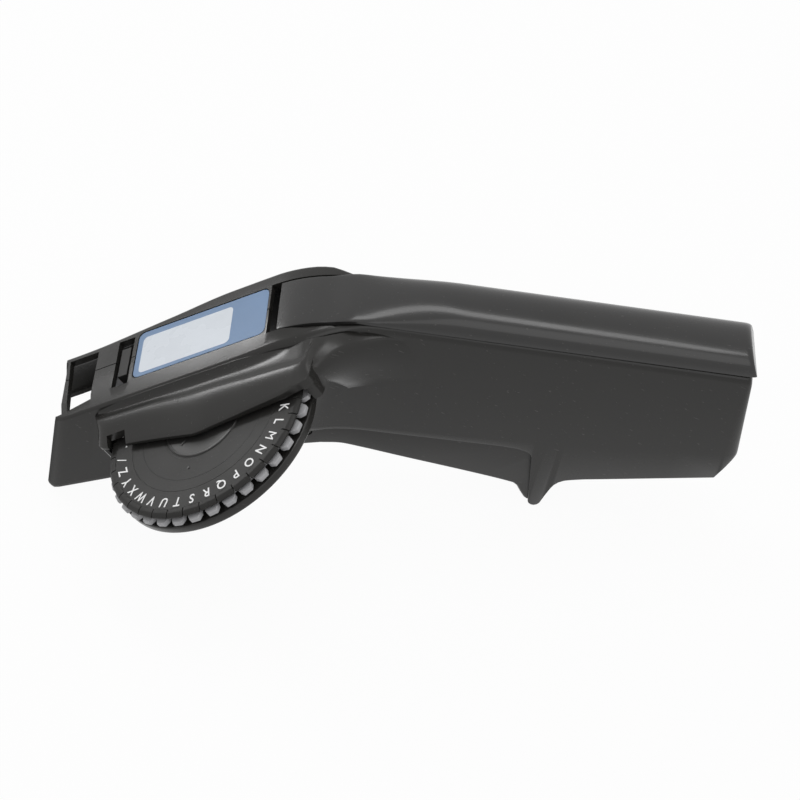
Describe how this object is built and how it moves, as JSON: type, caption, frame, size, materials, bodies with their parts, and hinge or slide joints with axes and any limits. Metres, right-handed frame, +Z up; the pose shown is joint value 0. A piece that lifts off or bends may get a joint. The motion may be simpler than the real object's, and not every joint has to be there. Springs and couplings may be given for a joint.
{
  "type": "embossing label maker",
  "caption": "Hand-held embossing label maker with a bent black body, a side-mounted character wheel, a squeeze trigger and a hinged cover over the tape magazine.",
  "frame": {"origin": "centre of the bottom of the bounding box, with the tool stood on the tip of its skirt and the tip of its fin", "axes": "+X to the rear along the handle, +Y to the side away from the character wheel, +Z up"},
  "size_m": [0.2052, 0.0734, 0.0819],
  "materials": {
    "black_plastic": "fine satin",
    "blade_steel": "ground",
    "disc_black": "satin",
    "gloss_black": "polished",
    "grey_plastic": "satin",
    "plate_blue": "printed foil",
    "rubber": "matt",
    "steel": "drawn",
    "white_plastic": "satin"
  },
  "bodies": {
    "body": {"anvil": "steel", "axle_clip": "steel", "cover_catch": "steel", "cover_hinge_pin": "steel", "detent_spring": "steel", "feed_frame": "steel", "left_shell": "black_plastic", "lever_pin": "steel", "name_plate": "plate_blue", "pressure_axle": "steel", "right_shell": "black_plastic", "shell_screw_fin": "steel", "shell_screw_front": "steel", "shell_screw_rear": "steel", "tape_cradle": "grey_plastic", "tape_guide": "grey_plastic", "trigger_pin": "steel", "trigger_spring": "steel", "wheel_axle": "steel", "wheel_guard": "black_plastic"},
    "wheel": {"upper_disc": "disc_black", "lower_disc": "grey_plastic", "wheel_hub": "disc_black", "hub_ring": "grey_plastic", "disc_spacer": "white_plastic"},
    "trigger": {"trigger": "black_plastic", "feed_arm": "steel", "feed_pawl": "steel", "push_block": "white_plastic"},
    "cover": {"top_cover": "gloss_black"},
    "presser": {"presser": "steel"},
    "lever": {"press_lever": "steel"},
    "cutter": {"cutter_holder": "disc_black", "cutter_blade": "blade_steel"},
    "feed": {"feed_roller": "rubber", "feed_axle": "steel", "ratchet_wheel": "white_plastic"},
    "pressure": {"pressure_roller": "grey_plastic"}
  },
  "joints": [
    {"name": "wheel_spin", "type": "hinge", "parent": "body", "child": "wheel", "pos_m": [-0.05257, -0.00341, 0.05183], "axis": [-0.5293, 0, 0.8484], "continuous": true},
    {"name": "trigger_squeeze", "type": "hinge", "parent": "body", "child": "trigger", "pos_m": [-0.02481, 0.02309, 0.02709], "axis": [0, -1, 0], "range_deg": [0, 8], "stiffness_Nm_per_rad": 6, "springref_deg": -5.73, "deforming": ["trigger_spring"]},
    {"name": "cover_open", "type": "hinge", "parent": "body", "child": "cover", "pos_m": [-0.02945, 0.02309, 0.07072], "axis": [0, -1, 0], "range_deg": [0, 65]},
    {"name": "presser_slide", "type": "slide", "parent": "body", "child": "presser", "axis": [-0.5293, 0, 0.8484], "range_m": [0, 0.0007]},
    {"name": "lever_swing", "type": "hinge", "parent": "body", "child": "lever", "pos_m": [-0.05778, 0.02309, 0.02618], "axis": [0, -1, 0], "range_deg": [0, 2.3]},
    {"name": "cutter_slide", "type": "slide", "parent": "body", "child": "cutter", "axis": [0.5293, 0, -0.8484], "range_m": [0, 0.0027], "stiffness_N_per_m": 200, "springref_m": -0.0008},
    {"name": "feed_spin", "type": "hinge", "parent": "body", "child": "feed", "pos_m": [-0.01796, 0.02309, 0.06532], "axis": [0, -1, 0], "range_deg": [0, 46]},
    {"name": "pressure_spin", "type": "hinge", "parent": "body", "child": "pressure", "pos_m": [-0.02222, 0.02309, 0.07215], "axis": [0, 1, 0], "range_deg": [0, 92]}
  ],
  "couplings": [
    {"joint": "presser_slide", "follows": "trigger_squeeze", "m_per_rad": 0.004942},
    {"joint": "lever_swing", "follows": "trigger_squeeze", "ratio": 0.27},
    {"joint": "feed_spin", "follows": "trigger_squeeze", "ratio": 5.7},
    {"joint": "pressure_spin", "follows": "trigger_squeeze", "ratio": 11.4}
  ]
}
